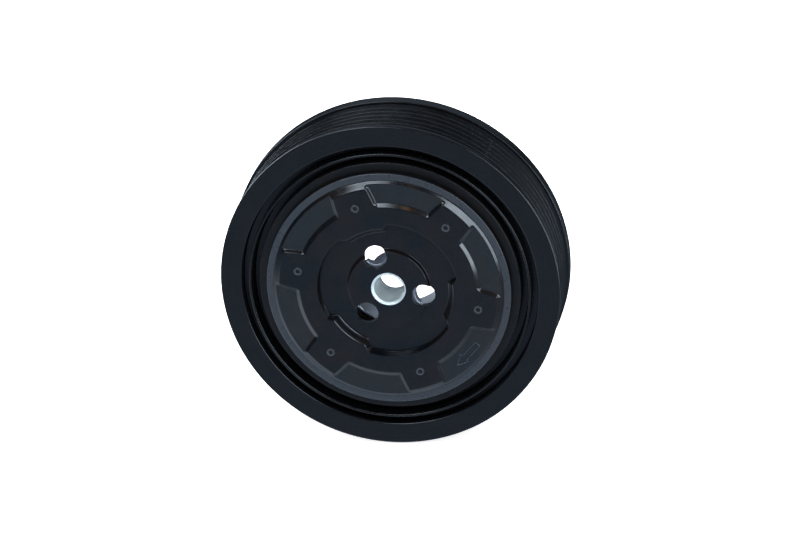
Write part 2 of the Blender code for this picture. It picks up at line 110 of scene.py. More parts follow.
# Front plate
PLATEAU = -3.5
PAD_FLOOR = -2.57
RIM_LEVEL = -1.9
RIM_RADIUS = 43.3
RIM_FOOT = 40.7
PLATEAU_EDGE = 38.4
PAD_TOP_RADIUS = 31.2
PAD_FLOOR_RADIUS = 32.7
PAD_OUTER = 39.75
PAD_COUNT = 6
PAD_ANGLE = 17.0
PAD_HALF_ANGLE = 16.3
PAD_FLARE = 0.5
PAD_WALL_RUN = 1.15
LOBE_ANGLE = 48.0
LOBE_HALF_ANGLE = 40.0
LOBE_COUNT = 3
WINDOW_FOOT = -0.86
WINDOW_FOOT_WAIST = 20.8
WINDOW_FOOT_LOBE = 24.3
WINDOW_TOP_WAIST = 23.4
WINDOW_TOP_LOBE = 25.0
PAD_FLOOR_SHARE = 0.9
ARROW_ANGLE = 317.0
ARROW_CIRCLE = 36.2

# Hub
FLANGE_RADIUS_HUB = 27.0
FLANGE_FLOOR = -0.8
BOSS_FACE = -2.1
BOSS_RADIUS = 14.0
SHAFT_RADIUS = 5.1
NOSE_RADIUS = 6.1
NOSE_FRONT = -2.2
COLLAR_RADIUS = 12.3
COLLAR_FRONT = -0.2
SLEEVE_RADIUS = 8.8
SLEEVE_END = 12.0
TOOL_HOLE_RADIUS = 4.03
TOOL_HOLE_CIRCLE = 12.44
SCALLOP_CIRCLE = 13.35
TOOL_HOLE_ANGLES = (108.0, 228.0, 348.0)
KEYWAY_HALF_WIDTH = 1.2
KEYWAY_RADIUS = 5.7

# Rivets
RIVET_CIRCLE = 32.2
RIVET_ANGLES = tuple(47.0 + 60.0 * i for i in range(6))

# Coil, mounting plate and connector
CASE_RADIUS = 45.6
CASE_INNER = 30.4
CASE_FRONT = 10.0
CASE_BACK = 32.3
MOUNT_RADIUS = 46.4
MOUNT_INNER = 20.5
MOUNT_FRONT = 32.6
MOUNT_BACK = 34.6

# Studio: what the glossy surfaces mirror, as linear radiance
ROOM_LOW = (0.44, 0.60, 0.84)
ROOM_HIGH = (0.045, 0.055, 0.070)
ROOM_BACK = (0.085, 0.115, 0.155)
TABLE = (1.15, 1.40, 1.70)
LOW_REFLECTOR = (2.3, 2.7, 3.2)
RIGHT_FILL = (0.55, 0.68, 0.86)
BACKDROP = (0.20, 0.26, 0.32)
SOFTBOX_TINT = (0.76, 0.88, 1.0)
WARM_TINT = (1.0, 0.55, 0.15)
LIGHT_DISTANCE = 1.4

# Paler patches of the mirrored room: direction, where each starts and is full (as a cosine), radiance
ROOM_PATCHES = (
    ((-0.04, 0.92, 0.37), 0.891, 0.985, BACKDROP),
    ((-0.74, -0.33, -0.59), 0.90, 0.985, LOW_REFLECTOR),
    ((0.93, -0.35, 0.10), 0.45, 0.85, RIGHT_FILL),
)

# Camera: its place in metres and the directions that are right and up in its view
CAMERA_PLACE = (0.3082, -1.5935, 0.6759)
CAMERA_RIGHT = (0.98464, 0.16079, -0.06809)
CAMERA_UP = (0.0, 0.38995, 0.92083)
CAMERA_LENS = 225.0

FINE = 256
PLAIN = 160
SMALL = 48


# ---------------------------------------------------------------- shapes


def world(radius, depth, degrees):
    angle = math.radians(degrees)
    return Vector((radius * math.cos(angle) * MM, BELT_FRONT_Y + depth * MM, radius * math.sin(angle) * MM))


def rounded(outline, step=15.0):
    """Points of a closed outline of (radius, depth, fillet), with each corner rounded."""
    points = []
    count = len(outline)
    for index, (radius, depth, fillet) in enumerate(outline):
        corner = np.array((radius, depth), float)
        before = np.array(outline[index - 1][:2], float) - corner
        after = np.array(outline[(index + 1) % count][:2], float) - corner
        reach = (np.linalg.norm(before), np.linalg.norm(after))
        before /= reach[0]
        after /= reach[1]
        angle = math.acos(max(-1.0, min(1.0, float(before @ after))))
        turn = math.pi - angle
        if fillet == 0 or turn < 0.02:
            points.append(tuple(corner))
            continue
        back_off = min(fillet * math.tan(turn / 2), 0.49 * reach[0], 0.49 * reach[1])
        true_fillet = back_off / math.tan(turn / 2)
        middle = (before + after) / np.linalg.norm(before + after)
        centre = corner + middle * true_fillet / math.cos(turn / 2)
        start = corner + before * back_off - centre
        end = corner + after * back_off - centre
        steps = max(2, math.ceil(math.degrees(turn) / step))
        for k in range(steps + 1):
            share = k / steps
            spoke = start * math.sin((1 - share) * turn) + end * math.sin(share * turn)
            points.append(tuple(centre + spoke / math.sin(turn)) if turn < 3.1 else tuple(corner))
    return np.array(points)


def finish_mesh(mesh, material, sharp):
    shape = bmesh.new()
    shape.from_mesh(mesh)
    bmesh.ops.remove_doubles(shape, verts=shape.verts, dist=1e-7)
    bmesh.ops.recalc_face_normals(shape, faces=shape.faces)
    shape.to_mesh(mesh)
    shape.free()
    mesh.materials.clear()
    mesh.materials.append(material)
    mesh.shade_smooth()
    mesh.set_sharp_from_angle(angle=math.radians(sharp))


def new_object(name, vertices, faces, material, sharp=28):
    mesh = bpy.data.meshes.new(name)
    mesh.from_pydata([tuple(v) for v in vertices], [], [tuple(f) for f in faces])
    finish_mesh(mesh, material, sharp)
    obj = bpy.data.objects.new(name, mesh)
    bpy.context.scene.collection.objects.link(obj)
    return obj


def grid_faces(rows, columns, closed_rows=True):
    """Quads of a grid whose columns close on themselves."""
    last = rows if closed_rows else rows - 1
    faces = []
    for i in range(last):
        here = i * columns
        there = ((i + 1) % rows) * columns
        for j in range(columns):
            k = (j + 1) % columns
            faces.append((here + j, here + k, there + k, there + j))
    return faces


def lathe(name, outline, material, columns=PLAIN, reach=None, angles=None, sharp=28, step=15.0):
    """A turned piece. reach(radius, depth, angles) can change the radius round the turn."""
    profile = rounded(outline, step)
    if angles is None:
        angles = np.arange(columns) * 360.0 / columns
    angles = np.asarray(angles, float)
    radii = np.repeat(profile[:, :1], len(angles), axis=1)
    depths = np.repeat(profile[:, 1:], len(angles), axis=1)
    if reach:
        radii = reach(radii, depths, np.broadcast_to(angles, radii.shape))
    turn = np.radians(angles)
    vertices = np.stack(
        [radii * np.cos(turn) * MM, BELT_FRONT_Y + depths * MM, radii * np.sin(turn) * MM], axis=-1
    ).reshape(-1, 3)
    faces = grid_faces(len(profile), len(angles))
    return new_object(name, vertices, faces, material, sharp)


def arc_block(inner, outer, front, back, start, sweep, columns=14):
    """A cutter: a piece of flat ring with round ends."""
    half = (outer - inner) / 2
    middle = (outer + inner) / 2
    rim = []
    for k in range(columns + 1):
        angle = start + sweep * k / columns
        rim.append((outer, angle))
    end = math.degrees(half / middle)
    for k in range(1, 6):
        spoke = math.radians(90 - 30 * k)
        rim.append((middle + half * math.sin(spoke), start + sweep + end * math.cos(spoke)))
    for k in range(columns + 1):
        angle = start + sweep * (1 - k / columns)
        rim.append((inner, angle))
    for k in range(1, 6):
        spoke = math.radians(-90 + 30 * k)
        rim.append((middle + half * math.sin(spoke), start - end * math.cos(spoke)))
    low = [world(radius, front, angle) for radius, angle in rim]
    high = [world(radius, back, angle) for radius, angle in rim]
    count = len(rim)
    faces = [tuple(range(count)), tuple(range(count, 2 * count))]
    faces += [(k, (k + 1) % count, count + (k + 1) % count, count + k) for k in range(count)]
    return new_object("cutter", low + high, faces, None)


def hole_cutter(radius, front, back, circle, degrees, flare_at=None, flare=0.3, columns=72):
    """A cutter along the axis, with a bell mouth where it leaves the face at depth flare_at."""
    outline = [(radius, front), (radius, back)]
    if flare_at is not None:
        outline = [(radius + flare + 0.02, front), (radius + flare + 0.02, flare_at - 0.004)]
        for k in range(7):
            spoke = math.radians(90 - 15 * k)
            outline.append(
                (radius + flare - flare * math.cos(spoke), flare_at + flare - flare * math.sin(spoke))
            )
        outline.append((radius, back))
    centre = world(circle, 0, degrees)
    vertices = []
    for ring_radius, depth in outline:
        for k in range(columns):
            angle = 2 * math.pi * k / columns
            x = centre.x + ring_radius * math.cos(angle) * MM
            z = centre.z + ring_radius * math.sin(angle) * MM
            vertices.append((x, BELT_FRONT_Y + depth * MM, z))
    faces = grid_faces(len(outline), columns, closed_rows=False)
    last = (len(outline) - 1) * columns
    faces.append(tuple(range(columns)))
    faces.append(tuple(range(last, last + columns)))
    return new_object("cutter", vertices, faces, None)


def carve(obj, cutters, sharp=28):
    """Takes the cutters' shapes out of a piece and removes them."""
    material = obj.data.materials[0]
    group = bpy.data.collections.new(f"{obj.name}_cutters")
    for cutter in cutters:
        bpy.context.scene.collection.objects.unlink(cutter)
        group.objects.link(cutter)
    bpy.context.scene.collection.children.link(group)
    boolean = obj.modifiers.new("carve", "BOOLEAN")
    boolean.operation = "DIFFERENCE"
    boolean.operand_type = "COLLECTION"
    boolean.collection = group
    boolean.solver = "EXACT"
    bpy.context.view_layer.update()
    graph = bpy.context.evaluated_depsgraph_get()
    mesh = bpy.data.meshes.new_from_object(obj.evaluated_get(graph))
    obj.modifiers.clear()
    obj.data = mesh
    for cutter in cutters:
        bpy.data.objects.remove(cutter, do_unlink=True)
    bpy.data.collections.remove(group)
    finish_mesh(mesh, material, sharp)


def place(obj, body, nodes, weighted=True):
    """Shades the piece by its large faces, sets it on its body and hides what it stands for."""
    if weighted:
        normals = obj.modifiers.new("normals", "WEIGHTED_NORMAL")
        normals.keep_sharp = True
        normals.weight = 60
    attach(obj, body)
    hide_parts(*nodes)


def smooth_step(value, start, end):
    share = np.clip((np.asarray(value, float) - start) / (end - start), 0, 1)
    return share * share * (3 - 2 * share)


def soft_ramp(value, start, end, blend):
    """0 before start, 1 after end and straight between, with both corners rounded."""
    value = np.asarray(value, float)
    slope = 1 / (end - start)

    def hinge(x):
        inside = np.clip((x + blend) / (2 * blend), 0, 1)
        return np.where(x > blend, x, inside * inside * blend)

    return slope * (hinge(value - start) - hinge(value - end))


# ---------------------------------------------------------------- materials


def new_material(name, colour, roughness, metallic=0.0, specular=0.5):
    material = bpy.data.materials.new(name)
    material.use_nodes = True
    tree = material.node_tree
    shader = tree.nodes["Principled BSDF"]
    shader.inputs["Base Color"].default_value = (*colour, 1)
    shader.inputs["Roughness"].default_value = roughness
    shader.inputs["Metallic"].default_value = metallic
    shader.inputs["Specular IOR Level"].default_value = specular
    return material, tree, shader


def add_node(tree, kind, **inputs):
    node = tree.nodes.new(kind)
    for key, value in inputs.items():
        node.inputs[key].default_value = value
    return node


def from_axis(tree):
    """Distance from the shaft axis and the position itself, in metres."""
    place_node = tree.nodes.new("ShaderNodeTexCoord")
    flat = tree.nodes.new("ShaderNodeVectorMath")
    flat.operation = "MULTIPLY"
    flat.inputs[1].default_value = (1, 0, 1)
    tree.links.new(place_node.outputs["Object"], flat.inputs[0])
    length = tree.nodes.new("ShaderNodeVectorMath")
    length.operation = "LENGTH"
    tree.links.new(flat.outputs["Vector"], length.inputs[0])
    return length.outputs["Value"], place_node.outputs["Object"]


def noise(tree, vector, scale, detail=3.0, rough=0.5):
    node = add_node(tree, "ShaderNodeTexNoise", Scale=scale, Detail=detail, Roughness=rough)
    tree.links.new(vector, node.inputs["Vector"])
    return node.outputs["Fac"]


def fit_range(tree, value, low, high, from_low=0.3, from_high=0.7):
    node = tree.nodes.new("ShaderNodeMapRange")
    node.inputs["From Min"].default_value = from_low
    node.inputs["From Max"].default_value = from_high
    node.inputs["To Min"].default_value = low
    node.inputs["To Max"].default_value = high
    tree.links.new(value, node.inputs["Value"])
    return node.outputs["Result"]


def mix_colour(tree, share, first, second):
    """Mixes first and second, each a colour or the socket that gives one."""
    node = tree.nodes.new("ShaderNodeMix")
    node.data_type = "RGBA"
    for index, colour in ((6, first), (7, second)):
        if isinstance(colour, bpy.types.NodeSocket):
            tree.links.new(colour, node.inputs[index])
        else:
            node.inputs[index].default_value = (*colour, 1)
    tree.links.new(share, node.inputs[0])
    return node.outputs[2]


def bump(tree, shader, height, strength, distance, before=None):
    node = tree.nodes.new("ShaderNodeBump")
    node.inputs["Strength"].default_value = strength
    node.inputs["Distance"].default_value = distance
    tree.links.new(height, node.inputs["Height"])
    if before:
        tree.links.new(before, node.inputs["Normal"])
    tree.links.new(node.outputs["Normal"], shader.inputs["Normal"])
    return node.outputs["Normal"]


def turning_marks(tree, radius, position, scale):
    """Fine concentric rings, as a lathe tool leaves, that also change along the axis."""
    split = tree.nodes.new("ShaderNodeSeparateXYZ")
    tree.links.new(position, split.inputs[0])
    total = tree.nodes.new("ShaderNodeMath")
    total.operation = "ADD"
    tree.links.new(radius, total.inputs[0])
    tree.links.new(split.outputs["Y"], total.inputs[1])
    node = tree.nodes.new("ShaderNodeTexNoise")
    node.noise_dimensions = "1D"
    node.inputs["Scale"].default_value = scale
    node.inputs["Detail"].default_value = 2.0
    tree.links.new(total.outputs[0], node.inputs["W"])
    return node.outputs["Fac"]


def coated(name, bluish, brownish, roughness, specular, marks):
    """Black coated steel: faint colour patches, uneven gloss, orange peel and turning marks."""
    material, tree, shader = new_material(name, bluish, roughness[0], 0.0, specular)
    radius, position = from_axis(tree)
    patches = noise(tree, position, 95.0, 2.0, 0.5)
    tint = mix_colour(tree, fit_range(tree, patches, 0, 1, 0.35, 0.65), bluish, brownish)
    tree.links.new(tint, shader.inputs["Base Color"])
    smear = noise(tree, position, 210.0, 3.0, 0.55)
    tree.links.new(fit_range(tree, smear, *roughness), shader.inputs["Roughness"])
    peel = noise(tree, position, 1500.0, 1.0, 0.5)
    normal = bump(tree, shader, peel, 0.02, 0.00002)
    if marks:
        rings = turning_marks(tree, radius, position, 3200.0)
        bump(tree, shader, rings, marks, 0.00002, normal)
    return material


def turned_steel(name, colour, darker, roughness, marks, scale=4200.0, metallic=1.0):
    """Bare or plated steel with turning marks and a slight cloudiness."""
    material, tree, shader = new_material(name, colour, roughness[0], metallic)
    radius, position = from_axis(tree)
    clouds = noise(tree, position, 160.0, 3.0, 0.6)
    tint = mix_colour(tree, fit_range(tree, clouds, 0, 1), colour, darker)
    tree.links.new(tint, shader.inputs["Base Color"])
    rings = turning_marks(tree, radius, position, scale)
    tree.links.new(fit_range(tree, clouds, *roughness), shader.inputs["Roughness"])
    bump(tree, shader, rings, marks, 0.00003)
    return material


def plain_finish(name, colour, darker, roughness, grain, grain_scale, metallic=0.0):
    """Moulded or cast surface with fine grain and uneven colour."""
    material, tree, shader = new_material(name, colour, roughness[0], metallic, 0.4)
    _, position = from_axis(tree)
    clouds = noise(tree, position, 220.0, 4.0, 0.6)
    tint = mix_colour(tree, fit_range(tree, clouds, 0, 1), colour, darker)
    tree.links.new(tint, shader.inputs["Base Color"])
    tree.links.new(fit_range(tree, clouds, *roughness), shader.inputs["Roughness"])
    bump(tree, shader, noise(tree, position, grain_scale, 2.0, 0.6), grain, 0.00005)
    return material


def wound_copper_painted_shade():
    """Enamelled wire laid turn by turn: round wires across the winding's width, painted darker where the
    turns meet and lighter on their crowns: painted shade and painted highlight.
    """
    material, tree, shader = new_material("copper_wire_painted_shade", (0.55, 0.20, 0.08), 0.3, 1.0)
    radius, position = from_axis(tree)
    split = tree.nodes.new("ShaderNodeSeparateXYZ")
    tree.links.new(position, split.inputs[0])
    wave = tree.nodes.new("ShaderNodeMath")
    wave.operation = "PINGPONG"
    wave.inputs[1].default_value = 0.0003
    tree.links.new(split.outputs["Y"], wave.inputs[0])
    share = fit_range(tree, wave.outputs[0], 0, 1, 0.0, 0.0003)
    # Dark where the turns meet, light on their crowns: painted shade and painted highlight.
    tint = mix_colour(tree, share, (0.20, 0.05, 0.02), (0.62, 0.24, 0.10))
    tree.links.new(tint, shader.inputs["Base Color"])
    bump(tree, shader, wave.outputs[0], 0.8, 0.0003)
    return material


BLACK_COAT = coated(
    "black_coat_look", (0.0012, 0.0018, 0.0028), (0.0030, 0.0024, 0.0026), (0.14, 0.24), 0.26, 0.0
)
# Pocket floors: a lighter copy of the black coat on the same sheet, painted light.
PAD_PAINTED_LIGHT_COAT = coated(
    "pad_painted_light_look", (0.0042, 0.0060, 0.0080), (0.0060, 0.0064, 0.0078), (0.16, 0.28), 0.26, 0.0
)
# Rim band and arrow: a lighter copy of the black coat, a painted highlight.
RIM_PAINTED_HIGHLIGHT_COAT = coated(
    "rim_painted_highlight_look", (0.0120, 0.0165, 0.0230), (0.0140, 0.0175, 0.0230), (0.24, 0.34), 0.26, 0.02
)
SATIN_BLACK = coated(
    "satin_black_look", (0.0010, 0.0014, 0.0020), (0.0015, 0.0016, 0.0021), (0.20, 0.27), 0.26, 0.0
)
RIVET_COAT = coated(
    "rivet_look", (0.0140, 0.0180, 0.0235), (0.0160, 0.0190, 0.0235), (0.22, 0.32), 0.30, 0.0
)
DEEP_BLACK = coated(
    "rotor_black_look", (0.0008, 0.0011, 0.0015), (0.0012, 0.0012, 0.0015), (0.24, 0.32), 0.24, 0.012
)
ARMATURE_COAT = coated(
    "armature_look", (0.0012, 0.0013, 0.0016), (0.0020, 0.0016, 0.0016), (0.34, 0.46), 0.20, 0.02
)
BRIGHT_STEEL = turned_steel(
    "bright_steel_look", (0.70, 0.73, 0.71), (0.62, 0.65, 0.63), (0.56, 0.68), 0.10
)
RACE_STEEL = turned_steel("race_steel_look", (0.72, 0.73, 0.76), (0.60, 0.61, 0.64), (0.26, 0.36), 0.10)
ROUGH_STEEL = turned_steel(
    "rough_steel_look", (0.34, 0.35, 0.39), (0.22, 0.23, 0.26), (0.46, 0.62), 0.30, 2200.0
)
SPRING_STEEL = turned_steel(
    "spring_steel_look", (0.20, 0.22, 0.25), (0.14, 0.15, 0.18), (0.34, 0.48), 0.20
)
ZINC = turned_steel("zinc_look", (0.46, 0.44, 0.40), (0.36, 0.35, 0.33), (0.34, 0.50), 0.10, metallic=0.6)
LINING = plain_finish("lining_look", (0.10, 0.085, 0.07), (0.05, 0.042, 0.035), (0.80, 0.95), 0.5, 2600.0)
RUBBER = plain_finish(
    "seal_look", (0.030, 0.016, 0.012), (0.020, 0.012, 0.010), (0.55, 0.75), 0.2, 1800.0
)
NYLON = plain_finish("cage_look", (0.55, 0.50, 0.38), (0.48, 0.42, 0.30), (0.40, 0.55), 0.15, 1500.0)
RESIN = plain_finish("resin_look", (0.03, 0.08, 0.045), (0.02, 0.06, 0.035), (0.18, 0.40), 0.3, 260.0)
PLASTIC = plain_finish(
    "plastic_look", (0.022, 0.023, 0.026), (0.016, 0.016, 0.018), (0.42, 0.58), 0.35, 3200.0
)
COPPER = plain_finish(
    "terminal_look", (0.62, 0.32, 0.14), (0.52, 0.26, 0.11), (0.22, 0.36), 0.1, 900.0, 1.0
)
WIRE = wound_copper_painted_shade()


# ---------------------------------------------------------------- pulley


def make_belt_ring():
    flank = 1.05
    bottom = GROOVE_PITCH - 0.6 - 2 * flank
    grooves = []
    for index in range(GROOVE_COUNT):
        middle = FIRST_GROOVE + index * GROOVE_PITCH
        low = RIB_TIP_RADIUS - GROOVE_DEPTH
        grooves += [
            (RIB_TIP_RADIUS, middle - bottom / 2 - flank, 0.12),
            (low, middle - bottom / 2, 0.2),
            (low, middle + bottom / 2, 0.2),
            (RIB_TIP_RADIUS, middle + bottom / 2 + flank, 0.12),
        ]
    outline = [
        (52.4, 0.0, 0.55),
        (BELT_RADIUS, 0.0, 0.5),
        (BELT_RADIUS, grooves[0][1] - 0.4, 0.35),
        *grooves,
        (FLANGE_RADIUS, grooves[-1][1] + 0.12, 0.25),
        (FLANGE_RADIUS, BELT_WIDTH, 0.9),
        (53.4, BELT_WIDTH, 0.4),
        (52.6, BELT_WIDTH - 0.9, 0.3),
        (50.02, BELT_WIDTH - 0.9, 0.0),
        (50.02, 4.6, 0.0),
        (50.6, 4.6, 0.3),
        (52.4, 4.6, 0.4),
    ]

    def seam(radii, depths, angles):
        """A faint joint line of the rolled ring, across its grooves."""
        off = np.abs((angles - SEAM_ANGLE + 180) % 360 - 180)
        outside = (radii > 55) & (depths > 1.5)
        return radii - np.where(outside, 0.05 * (1 - smooth_step(off, 0.04, 0.14)), 0)

    angles = np.arange(FINE) * 360.0 / FINE
    angles = angles[np.abs(angles - SEAM_ANGLE) > 0.4]
    extra = SEAM_ANGLE + np.array([-0.28, -0.14, -0.09, -0.04, 0.04, 0.09, 0.14, 0.28])
    angles = np.sort(np.concatenate([angles, extra]))
    ring = lathe("belt_ring_look", outline, SATIN_BLACK, reach=seam, angles=angles)
    place(ring, "pulley", ["belt_ring"])


def make_rotor():
    """Outer wall with the lip that shows in front, and the pole face with its slots and hub."""
    end = BEARING_BACK
    wall = [
        (LIP_INNER, -0.2, 0.52),
        (ROTOR_RADIUS, -0.2, 0.52),
        (ROTOR_RADIUS, 27.6, 0.4),
        (46.4, 27.6, 0.4),
        (46.4, POLE_FACE, 0.0),
        (LIP_INNER - 0.25, POLE_FACE, 0.5),
    ]
    shell = lathe("rotor_wall_look", wall, DEEP_BLACK, FINE)
    place(shell, "pulley", ["rotor"])
    pole = [
        (46.42, POLE_FACE, 0.0),
        (46.42, POLE_BACK, 0.0),
        (29.6, POLE_BACK, 0.5),
        (29.6, 31.8, 0.5),
        (SEAT_RADIUS, 31.8, 0.4),
        (SEAT_RADIUS, end + 1.4, 0.0),
        (27.5, end + 1.4, 0.0),
        (27.5, end, 0.0),
        (SEAT_RADIUS, end, 0.0),
        (SEAT_RADIUS, BEARING_FRONT - 0.3, 0.0),
        (23.6, BEARING_FRONT - 0.3, 0.2),
        (23.6, POLE_FACE, 0.4),
        (36.4, POLE_FACE, 0.0),
        (36.4, 7.2, 0.0),
        (39.6, 7.2, 0.0),
        (39.6, POLE_FACE, 0.0),
    ]
    rotor = lathe("rotor_pole_look", pole, DEEP_BLACK, PLAIN)
    cutters = []
    for row, (inner, outer, sweep) in enumerate(POLE_SLOTS):
        for index in range(6):
            start = index * 60 + row * 30 + 1.5
            cutters.append(arc_block(inner, outer, POLE_FACE - 1, POLE_BACK + 1, start, sweep))
    carve(rotor, cutters)
    place(rotor, "pulley", ["rotor"])


def raceways(land_radius, side):
    """Both ball tracks of a ring, front to back; side is -1 on the inner ring and 1 on the outer."""
    half = math.acos(abs(land_radius - BALL_CIRCLE_RADIUS) / RACEWAY_RADIUS)
    middle = (BEARING_FRONT + BEARING_BACK) / 2
    points = []
    for row in (-1, 1):
        for step in range(RACEWAY_STEPS + 1):
            angle = half * (2 * step / RACEWAY_STEPS - 1)
            radius = BALL_CIRCLE_RADIUS + side * RACEWAY_RADIUS * math.cos(angle)
            points.append((radius, middle + row * BALL_ROW_OFFSET + RACEWAY_RADIUS * math.sin(angle), 0.0))
    return points


def make_bearing():
    inner = [
        (BORE_RADIUS, BEARING_FRONT, 0.6),
        (INNER_LAND_RADIUS, BEARING_FRONT, 0.2),
        *raceways(INNER_LAND_RADIUS, -1),
        (INNER_LAND_RADIUS, BEARING_BACK, 0.2),
        (BORE_RADIUS, BEARING_BACK, 0.6),
    ]
    race = lathe("bearing_inner_race_look", inner, RACE_STEEL, FINE)
    place(race, "coil_side", ["bearing_inner_race"])
    outer = [
        (SHELL_RADIUS, BEARING_FRONT, 0.6),
        (OUTER_LAND_RADIUS, BEARING_FRONT, 0.2),
        *raceways(OUTER_LAND_RADIUS, 1),
        (OUTER_LAND_RADIUS, BEARING_BACK, 0.2),
        (SHELL_RADIUS, BEARING_BACK, 0.6),
    ]
    shell = lathe("bearing_outer_race_look", outer, RACE_STEEL)
    place(shell, "pulley", ["bearing_outer_race"])
    for word, front, lip in (("front", BEARING_FRONT + 0.15, 1), ("rear", BEARING_BACK - 1.0, -1)):
        face = front if lip > 0 else front + 0.85
        seal = [
            (20.25, face, 0.1),
            (20.7, face, 0.1),
            (21.0, face + lip * 0.22, 0.1),
            (22.3, face + lip * 0.22, 0.1),
            (22.6, face, 0.1),
            (23.25, face, 0.1),
            (23.25, face + lip * 0.7, 0.1),
            (20.25, face + lip * 0.7, 0.1),
        ]
        piece = lathe(f"bearing_seal_{word}_look", seal, RUBBER)
        place(piece, "pulley", [f"bearing_seal_{word}"])


# ---------------------------------------------------------------- hub side


def make_armature():
    outline = [
        (28.6, 0.8, 0.3),
        (46.3, 0.8, 0.35),
        (46.3, 5.2, 0.35),
        (28.6, 5.2, 0.3),
    ]
    plate = lathe("armature_plate_look", outline, ARMATURE_COAT, FINE)
    cutters = []
    for index in range(6):
        cutters.append(arc_block(37.2, 39.0, -1, 7, index * 60 - 5, 44))
        cutters.append(hole_cutter(2.4, -1, 7, RIVET_CIRCLE, RIVET_ANGLES[index]))
    for index in range(3):
        cutters.append(hole_cutter(1.75, -1, 7, 34.0, PAD_ANGLE + index * 120))
    carve(plate, cutters)
    place(plate, "armature", ["armature_plate"])


def pad_columns():
    """Column places in one pitch: pad floor, its walls and the plateau between two pads.

    Each is (zone, value): in "floor" the value is a share of the pad's half angle, in "wall"
    millimetres past its edge, and in "gap" a share of the plateau left between two walls.
    """
    floor = [("floor", v) for v in np.linspace(-0.94, 0.94, 33)]
    wall = [-0.5, -0.3, -0.18, -0.09, 0.0, 0.09, 0.18, 0.4, 0.75, 0.97, 1.06, 1.15, 1.24, 1.33, 1.5, 1.75]
    right = [("wall", v) for v in wall]
    gap = [("gap", v) for v in np.linspace(0.04, 0.96, 27)]
    left = [("wall_back", v) for v in wall[::-1]]
    return floor + right + gap + left


def plate_angle(zone, value, radius):
    """Angle from the pad's middle of one column at one radius, in degrees."""
    pitch = 360 / PAD_COUNT
    half = PAD_HALF_ANGLE + PAD_FLARE * (min(max(radius, 29.0), 41.5) - PAD_FLOOR_RADIUS)
    past = math.degrees(1 / max(radius, 22.0))
    if zone == "floor":
        reach = half - 0.55 * past
        return value / 0.94 * reach * 0.97
    if zone == "wall":
        return half + value * past
    if zone == "wall_back":
        return pitch - half - value * past
    start = half + 1.75 * past
    return start + (pitch - 2 * start) * value


def pad_share(radius, degrees):
    """How far the sheet is pressed back into a pad pocket, 0 on the plateau and 1 on the floor."""
    pitch = 360 / PAD_COUNT
    off_middle = np.abs((degrees - PAD_ANGLE + pitch / 2) % pitch - pitch / 2)
    half = PAD_HALF_ANGLE + PAD_FLARE * (np.clip(radius, 29.0, 41.5) - PAD_FLOOR_RADIUS)
    past = np.radians(off_middle - half) * radius
    inward = soft_ramp(radius, PAD_TOP_RADIUS, PAD_FLOOR_RADIUS, 0.24)
    return inward * (1 - soft_ramp(past, 0.0, PAD_WALL_RUN, 0.18))


def plate_depth(radius, degrees):
    plateau = PLATEAU + (RIM_LEVEL - PLATEAU) * soft_ramp(radius, PLATEAU_EDGE, RIM_FOOT, 0.35)
    pad = PAD_FLOOR + (RIM_LEVEL - PAD_FLOOR) * soft_ramp(radius, PAD_OUTER, RIM_FOOT, 0.22)
    return plateau + np.maximum(pad - plateau, 0) * pad_share(radius, degrees)


def lobe_share(degrees, softness=3.0):
    """1 in the window's wide lobes, 0 in the waists between them."""
    pitch = 360 / LOBE_COUNT
    off_middle = np.abs((degrees - LOBE_ANGLE + pitch / 2) % pitch - pitch / 2)
    return 1 - smooth_step(off_middle, LOBE_HALF_ANGLE - softness, LOBE_HALF_ANGLE + softness)


